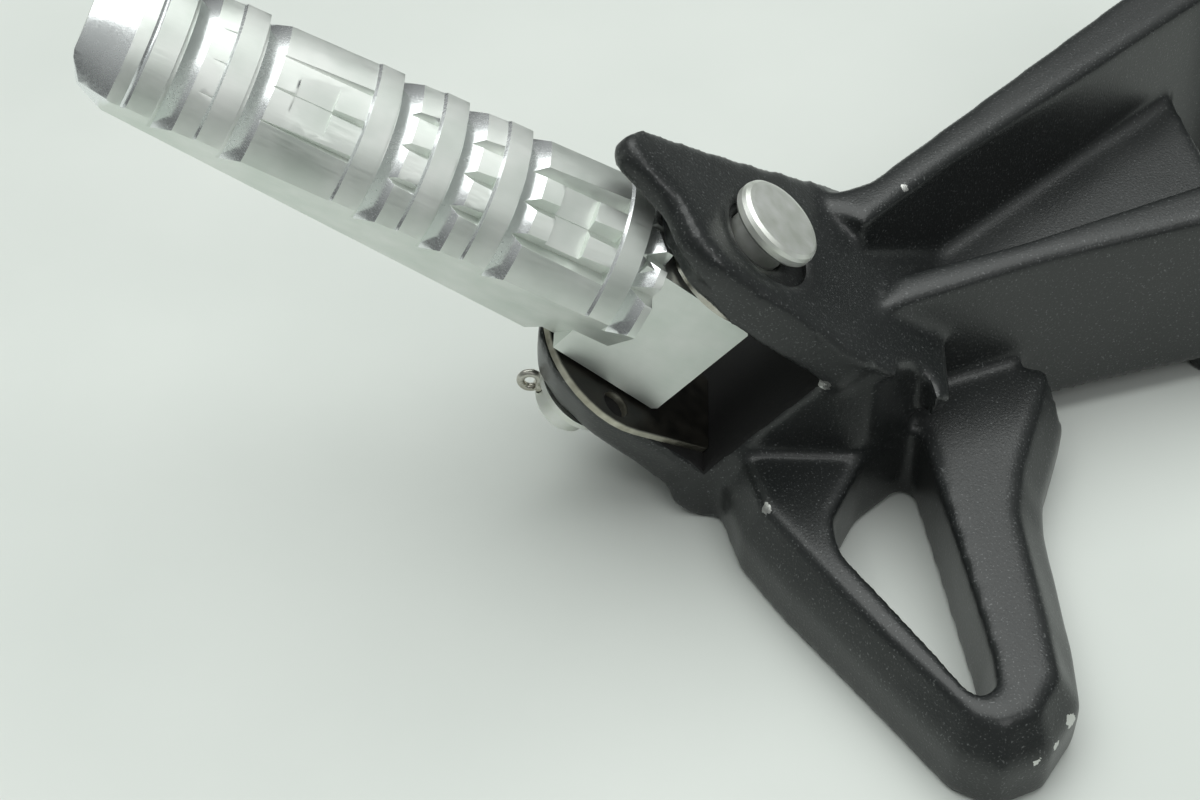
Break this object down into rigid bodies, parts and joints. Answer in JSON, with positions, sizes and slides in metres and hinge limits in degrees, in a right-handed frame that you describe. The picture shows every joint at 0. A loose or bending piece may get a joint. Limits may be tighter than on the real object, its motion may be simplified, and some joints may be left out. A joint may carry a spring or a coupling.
{
  "type": "motorcycle footrest bracket",
  "caption": "Cast footrest bracket with a clevis, a triangular tie-down loop and bolted arms, and a folding aluminium peg on a headed pin.",
  "frame": {"origin": "midway between the two frame bolts, on the mounting plane", "axes": "+Z off the mounting plane, the bolts lie in a line along Y, the peg reaches out towards -X and up"},
  "size_m": [0.1752, 0.1515, 0.0831],
  "materials": {
    "black_paint": "satin black paint over a fine cast texture",
    "machined_aluminium": "bright machined and brushed aluminium",
    "zinc_plate": "zinc plate, satin",
    "bright_steel": "plain steel"
  },
  "bodies": {
    "bracket": {"bracket": "black_paint", "pivot_pin": "zinc_plate", "pin_washer": "zinc_plate", "split_pin": "bright_steel", "thrust_washer": "bright_steel", "detent_plate": "bright_steel"},
    "peg": {"footpeg": "machined_aluminium", "detent_spring": "bright_steel"},
    "ball": {"detent_ball": "bright_steel"}
  },
  "joints": [
    {"name": "peg_fold", "type": "hinge", "parent": "bracket", "child": "peg", "pos_m": [-0.09, -0.055, 0.03], "axis": [0.6428, 0, 0.766], "range_deg": [0, 90]},
    {"name": "ball_travel", "type": "slide", "parent": "peg", "child": "ball", "axis": [-0.6428, 0, -0.766], "range_m": [0, 0.0011]}
  ]
}
